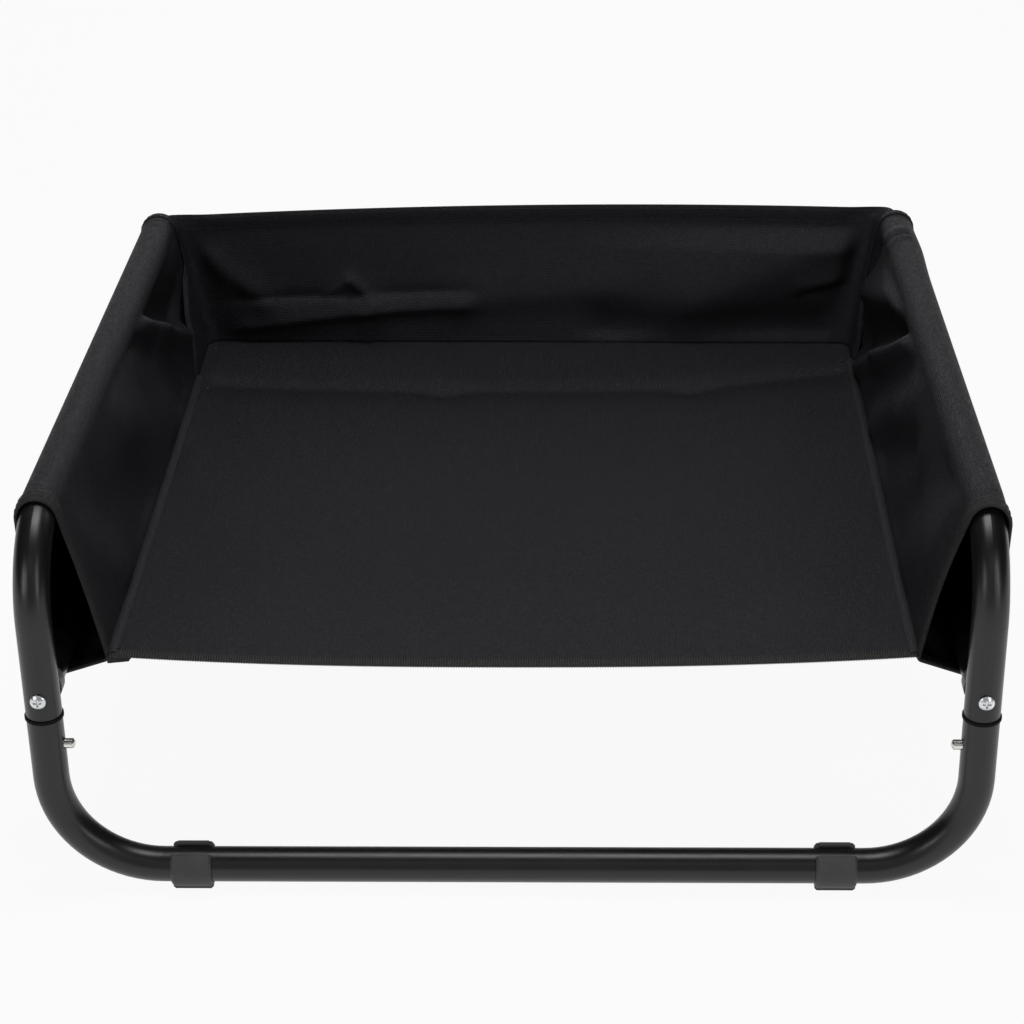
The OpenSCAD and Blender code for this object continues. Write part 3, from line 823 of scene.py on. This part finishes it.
def floor_point_z(x, y):
    """Height of the floor, which sags between its sides and ahead of its crease."""
    across = 1 - np.minimum(1, abs(x) / floor_half_x(y)) ** sag_power
    sag = floor_sag * (1 - smooth((y - crease_y) / (back_y - crease_y)))
    free = smooth((floor_half_x(y) - abs(x)) / floor_side_w) * smooth((back_y - y) / floor_rear_w)
    lift = to_front(y) * (front_side_lift - across * front_dip)
    return floor_z - across * sag + lift + fold_height(x, y, FLOOR_FOLDS) * free


def floor():
    """The floor's cloth with its front hem and its rounded rear corners."""
    hem = turned_rows(sleeve_front, 1, hem_w, hem_w + hem_overlap, hem_r)
    depths = hem + [(y, 0.0) for y in np.linspace(hem[-1][0] + first_row_gap, back_y, FLOOR_ROWS)]
    spans = np.linspace(-1, 1, FLOOR_COLUMNS)
    points = []
    for y, lift in depths:
        turn = np.clip((y - (back_y - corner_r)) / corner_r, 0, 1)
        half = floor_half_x(y) - corner_r * (1 - math.sqrt(1 - turn ** 2))
        x = spans * half
        skew = (back_line_y(x) - back_y) * smooth((y - sleeve_front) / (back_y - sleeve_front))
        points.append(np.stack([x, y + skew, floor_point_z(x, y) + lift], 1))
    cloth = cloth_object("floor_cloth", np.array(points), cloth_material)
    return dress(cloth, "sling_cloth", "floor_panel")


# Back wall, whose ends turn forward along the side walls: its folds as (across, height) pairs
BACK_FOLDS = [
    ((-207, 152), (-121, 163), (14, 5), 5.4, 1.5),
    ((-121, 163), (-50, 167), (11, 5), 4.6, 1.5),
    ((-214, 174), (-130, 175), (5, 3), -2.5, 1.4),
    ((-130, 175), (-45, 178), (5, 3), -2.5, 1.4),
    ((-132, 187), (-113, 170), 4, 3, 1.2),
    ((-132, 187), (-148, 176), 4, 2, 1.2),
    ((-245, 214), (-196, 172), 12, 5, 1.6),
    ((208, 183), (236, 190), (10, 4), 3, 1.4),
    ((206, 176), (234, 181), 3, -2.6, 1.4),
    ((234, 181), (242, 187), 3, -1.6, 1.4),
    ((124, 172), (252, 230), (44, 30), 11, 1.7),
    ((60, 150), (225, 152), 16, -5, 2),
    ((-40, 172), (60, 180), (24, 14), 4, 1.8),
]
BACK_COUNTS = {"flap": 26, "corner": 12, "across": 150}
# How far a flap lies off its side wall, and how far its edge tucks into it
flap_off = 1.6 * MM
flap_tuck = 2.4 * MM
flap_tuck_w = 5 * MM
flap_full_w = 12 * MM
# Where the back wall's folds are held: over the floor, under the hem and beside the corners
back_low_w = 10 * MM
back_top_hold = 14 * MM
back_top_w = 18 * MM
back_side_hold = 0.03
hem_side_hold = 0.05


def wall_face_x(y, z):
    """Inner face of a side wall's taut loop at depth y and height z."""
    rail, seam = rail_support(y), seam_support(y)
    angle = taut_angle(rail, seam)
    reach = seam[0] * math.cos(angle) + seam[1] * math.sin(angle) + seam[2]
    tangent_z = rail[1] + rail[2] * math.sin(angle)
    if z <= tangent_z:
        return (reach - math.sin(angle) * z) / math.cos(angle)
    return rail[0] - math.sqrt(max(0, rail[2] ** 2 - (z - rail[1]) ** 2))


def wall_hold(z):
    """How freely a side wall folds at height z, between its seam and its rail."""
    share = (rail_z - z) / (rail_z - floor_z)
    return smooth(share / rail_hold) * smooth((1 - share) / rail_hold)


def back_row(z, lift):
    """Points and normals of the back cloth at one height, from its left flap to its right one."""
    path, normals = [], []
    for name, side in SIDES.items():
        rear_y = back_end_y(name, z)
        edge_y, turn_y = flap_span(name, z)
        round_r = rear_y - turn_y
        face_x = wall_face_x(min(rear_y, sleeve_rear), z) - flap_off
        flap_y = np.linspace(edge_y, turn_y, BACK_COUNTS["flap"], endpoint=False)
        flap_x = np.array([wall_face_x(min(y, sleeve_rear), z) for y in flap_y]) - flap_off
        flap_x -= wall_fold(name, flap_y, z, hollow=0.1, ridge=0.1) * wall_hold(z)
        tucked = 1 - smooth((flap_y - edge_y) / flap_tuck_w)
        flap_x += flap_tuck * tucked * smooth((turn_y - edge_y) / flap_full_w)
        turn = np.linspace(0, math.pi / 2, BACK_COUNTS["corner"])
        corner_x = face_x - round_r * (1 - np.cos(turn))
        corner_y = rear_y - round_r * (1 - np.sin(turn))
        x = side * np.concatenate([flap_x, corner_x])
        y = np.concatenate([flap_y, corner_y])
        face = np.concatenate([np.zeros(len(flap_y)), turn])
        normal = np.stack([-side * np.cos(face), -np.sin(face), np.zeros(len(face))], 1)
        order = slice(None) if side < 0 else slice(None, None, -1)
        path.append(np.stack([x, y, np.full(len(x), z)], 1)[order])
        normals.append(normal[order])
    left_end, right_end = path[0][-1], path[1][0]
    t = np.linspace(0, 1, BACK_COUNTS["across"] + 2)[1:-1]
    across = between(left_end, right_end, t[:, None])
    across[:, 1] += back_bow * back_share(z) * (1 - (2 * t - 1) ** 2)
    free = smooth((z - floor_z) / back_low_w) * smooth((top_z - back_top_hold - z) / back_top_w)
    free = free * smooth(t / back_side_hold) * smooth((1 - t) / back_side_hold)
    across[:, 1] -= fold_height(across[:, 0], z, BACK_FOLDS) * free
    hem_share = smooth((z - top_z + back_hem_w + hem_overlap) / back_hem_w)
    across[:, 1] -= back_hem_tilt * hem_share * smooth(t / hem_side_hold) * smooth((1 - t) / hem_side_hold)
    forward = np.tile([0.0, -1.0, 0.0], (len(t), 1))
    points = np.concatenate([path[0], across, path[1]])
    normal = np.concatenate([normals[0], forward, normals[1]])
    return points + normal * lift, normal


def back():
    """The back wall's cloth with its top hem, and the hem's stitches."""
    hem = turned_rows(top_z, -1, back_hem_w, back_hem_w + hem_overlap, hem_r)
    body = [(z, 0.0) for z in np.linspace(floor_z, hem[-1][0] - hem_overlap, BACK_ROWS)]
    rows = body + list(reversed(hem))
    cloth = cloth_object("back_cloth", np.array([back_row(z, lift)[0] for z, lift in rows]), cloth_material)
    dress(cloth, "sling_cloth", "back_panel")
    tracks = []
    for inset in BACK_STITCH_INSETS:
        line, normal = back_row(top_z - inset, stitch_on_hem)
        tracks.append(stitch_tracks(*spread_along(line, normal, stitch_l + stitch_gap, hem_overlap)))
    thread = thread_object("back_hem_stitches", np.concatenate(tracks), thread_material)
    return cloth, thread


# Trim of the floor
def floor_seam(name):
    """The rib along one side of the floor, and its stitches."""
    side = SIDES[name]
    depths = np.linspace(sleeve_front + seam_front_gap, FLAP_EDGE[name][0] + seam_past_flap, SEAM_ROWS)
    turns = np.linspace(0, math.pi, ARC_ROWS)
    points = []
    for y in depths:
        x = seam_x(y) - seam_rib_in - seam_rib_w / 2 * np.cos(turns)
        z = floor_point_z(side * x, y) + seam_rib_h * np.sin(turns) ** 1.5
        points.append(np.stack([side * x, np.full(len(x), y), z], 1))
    # The rib's cloth carries a painted sheen in its lighter colour
    rib = cloth_object(f"{name}_floor_seam", np.array(points), seam_sheen_material)
    dress(rib, "sling_cloth")
    ridge = side * (seam_x(depths) - seam_rib_in)
    line = np.stack([ridge, depths, floor_point_z(ridge, depths) + seam_rib_h + layer_t / 2], 1)
    up = np.tile([0.0, 0.0, 1.0], (len(line), 1))
    tracks = stitch_tracks(*spread_along(line, up, stitch_l + stitch_gap))
    thread = thread_object(f"{name}_floor_seam_stitches", tracks, thread_material)
    return rib, thread


def front_overlock():
    """Overlock threads round the floor's front edge."""
    places = np.linspace(-1, 1, int(2 * floor_half_x(sleeve_front) / overlock_pitch))
    half = floor_half_x(sleeve_front) - overlock_end
    r = hem_r + layer_t / 2 + overlock_lift
    turn = np.linspace(math.pi / 2, -math.pi / 2, TRACK_POINTS)
    profile_y = np.concatenate([[overlock_reach], r * (1 - np.cos(turn)), [overlock_under]])
    profile_z = np.concatenate([[r - overlock_lift], r * np.sin(turn), [-r]])
    tracks = []
    for x in places * half:
        y = sleeve_front - overlock_lift + profile_y - layer_t / 2
        z = floor_point_z(np.full(len(y), x), y) + profile_z - hem_r
        slant = overlock_slant * np.linspace(-0.5, 0.5, len(y))
        tracks.append(np.stack([x + slant, y, z], 1))
    return thread_object("front_overlock", tracks, overlock_material, overlock_r)


# Places of the bar tacks at the seams' ends, in mm, and their size
BAR_TACKS = [(-231, -233), (232, -233), (-233, 212), (-230, 148), (232, 190)]
tack_w = 2.6 * MM
tack_h = 0.4 * MM
tack_rows = 6
tack_pitch = 0.4 * MM


def bar_tacks():
    """Short close threads across the seams' ends."""
    tracks = []
    along = np.linspace(-0.5, 0.5, TRACK_POINTS)
    for x, y in BAR_TACKS:
        for k in range(tack_rows):
            px = x * MM + along * tack_w
            py = np.full(len(along), y * MM + (k - tack_rows / 2) * tack_pitch)
            pz = floor_point_z(px, py) + layer_t + tack_h * (1 - (2 * along) ** 2)
            tracks.append(np.stack([px, py, pz], 1))
    return thread_object("bar_tacks", tracks, thread_material)


# The hem's loose end: its size and fold, its place at the floor's front left corner, its slant and its waves
tab_w = 13 * MM
tab_drop = 4.5 * MM
tab_fold_r = 0.9 * MM
tab_outside = 1 * MM
tab_below = 1.2 * MM
tab_behind = 2.4 * MM
tab_slant = 2.5 * MM
tab_wave = 0.5 * MM
tab_wave_turn = 6
tab_uneven = 0.15
tab_uneven_turn = 4


def hem_tab():
    """The hem's loose end, folded double, which hangs under the front left corner."""
    left = -floor_half_x(sleeve_front) - tab_outside
    top = floor_point_z(left + tab_w / 2, sleeve_front) - tab_below
    u = np.linspace(0, 1, TAB_COLUMNS)
    turn = np.linspace(0, math.pi, ARC_ROWS)
    flat, run = np.full(TAB_ROWS, tab_fold_r), np.linspace(0, 1, TAB_ROWS)
    depths = np.concatenate([flat, tab_fold_r * np.cos(turn), -flat])
    drops = np.concatenate([run, 1 + tab_fold_r / tab_drop * np.sin(turn), run[::-1]])
    points = []
    for out, down in zip(depths, drops):
        x = left + tab_w * u + tab_slant * u * (1 - down)
        y = sleeve_front + tab_behind - out + tab_wave * np.sin(u * tab_wave_turn) * down
        z = top - tab_drop * down * (1 - tab_uneven + tab_uneven * np.sin(1 + u * tab_uneven_turn))
        points.append(np.stack([x, y, z], 1))
    return dress(cloth_object("hem_tab", np.array(points), cloth_material), "sling_cloth")


for name in SIDES:
    cloth, sewn = sleeve(name)
    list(floor_seam(name))
floor_cloth = floor()
overlock = front_overlock()
tacks = bar_tacks()
tab = hem_tab()
back_cloth, back_thread = back()


# Stage, light and camera, with the level of the background that the camera sees
background_level = 0.93


def stage_floor():
    """A pale floor that takes the object's shadow and shows as an even background."""
    half = 12.0
    corners = [(-half, -half, 0), (half, -half, 0), (half, half, 0), (-half, half, 0)]
    n = Nodes("pale_floor")
    n.set(Base_Color=(0.86, 0.86, 0.86), Roughness=0.9, Specular_IOR_Level=0.1)
    paths = n.add("LightPath")
    seen = n.math("MAXIMUM", paths.outputs["Is Camera Ray"], paths.outputs["Is Glossy Ray"])
    glow = n.add("Emission")
    mix = n.add("MixShader")
    n.link(n.math("MULTIPLY", seen, background_level), mix.inputs["Fac"])
    n.link(n.shader.outputs[0], mix.inputs[1])
    n.link(glow.outputs[0], mix.inputs[2])
    n.link(mix.outputs[0], n.tree.nodes["Material Output"].inputs["Surface"])
    plane = mesh_object("stage_floor", corners, [(0, 1, 2, 3)], n.material)


def softbox(name, place, target, width, height, power):
    """A rectangular lamp that faces its target, with its power in watts."""
    lamp = bpy.data.lights.new(name, "AREA")
    lamp.shape = "RECTANGLE"
    lamp.size, lamp.size_y = width, height
    lamp.energy = power
    box = bpy.data.objects.new(name, lamp)
    box.location = place
    box.rotation_euler = (Vector(target) - Vector(place)).to_track_quat("-Z", "Y").to_euler()
    bpy.context.scene.collection.objects.link(box)


def world_light(strength):
    """Even light of that strength. The camera sees the background's level instead."""
    world = bpy.data.worlds.new("studio")
    world.use_nodes = True
    tree = world.node_tree
    background = tree.nodes["Background"]
    background.inputs["Color"].default_value = (1, 1, 1, 1)
    seen = tree.nodes.new("ShaderNodeLightPath").outputs["Is Camera Ray"]
    level = tree.nodes.new("ShaderNodeMix")
    level.data_type = "FLOAT"
    tree.links.new(seen, level.inputs["Factor"])
    level.inputs["A"].default_value = strength
    level.inputs["B"].default_value = background_level
    tree.links.new(level.outputs["Result"], background.inputs["Strength"])
    bpy.context.scene.world = world


def camera():
    """The photograph's camera, at the pitch, turn and tilt that fit the frame's outline."""
    place = Vector((0.0414, -1.4755, 0.8637))
    pitch, turn, tilt = (math.radians(a) for a in (27.0, -1.84, -0.89))
    aim = Matrix.Rotation(-turn, 4, "Z") @ Matrix.Rotation(math.pi / 2 - pitch, 4, "X")
    lens = bpy.data.cameras.new("camera")
    lens.sensor_width = 36
    lens.lens = 86.5
    eye = bpy.data.objects.new("camera", lens)
    eye.matrix_world = Matrix.Translation(place) @ aim @ Matrix.Rotation(tilt, 4, "Z")
    bpy.context.scene.collection.objects.link(eye)
    bpy.context.scene.camera = eye


stage_floor()
softbox("overhead", (0.0, 0.0, 1.9), (0, 0, 0.1), 1.0, 0.8, 15)
softbox("backdrop", (-0.12, 1.9, 1.25), (-0.05, 0, 0.15), 1.2, 1.3, 2.2)
softbox("rear_low", (0, 1.9, 0.55), (0, 0, 0.2), 2.0, 0.3, 3)
softbox("rear_left", (-1.25, 1.35, 1.35), (-0.1, 0, 0.15), 1.0, 1.0, 2.2)
softbox("rear_right", (1.25, 1.35, 1.35), (0.1, 0, 0.15), 1.0, 1.0, 3.3)
softbox("front", (0, -2.0, 2.0), (0, 0.1, 0.15), 1.2, 0.6, 1.6)
softbox("front_wide", (0, -2.6, 1.1), (0, 0, 0.15), 4.0, 1.6, 6)
softbox("left_strip", (-1.15, -1.35, 0.75), (-0.25, -0.25, 0.2), 0.4, 0.7, 3.8)
softbox("right_strip", (1.15, -1.45, 0.85), (0.25, -0.25, 0.2), 0.18, 1.2, 5.2)
world_light(0.02)
camera()
bpy.context.scene.view_settings.view_transform = "Standard"
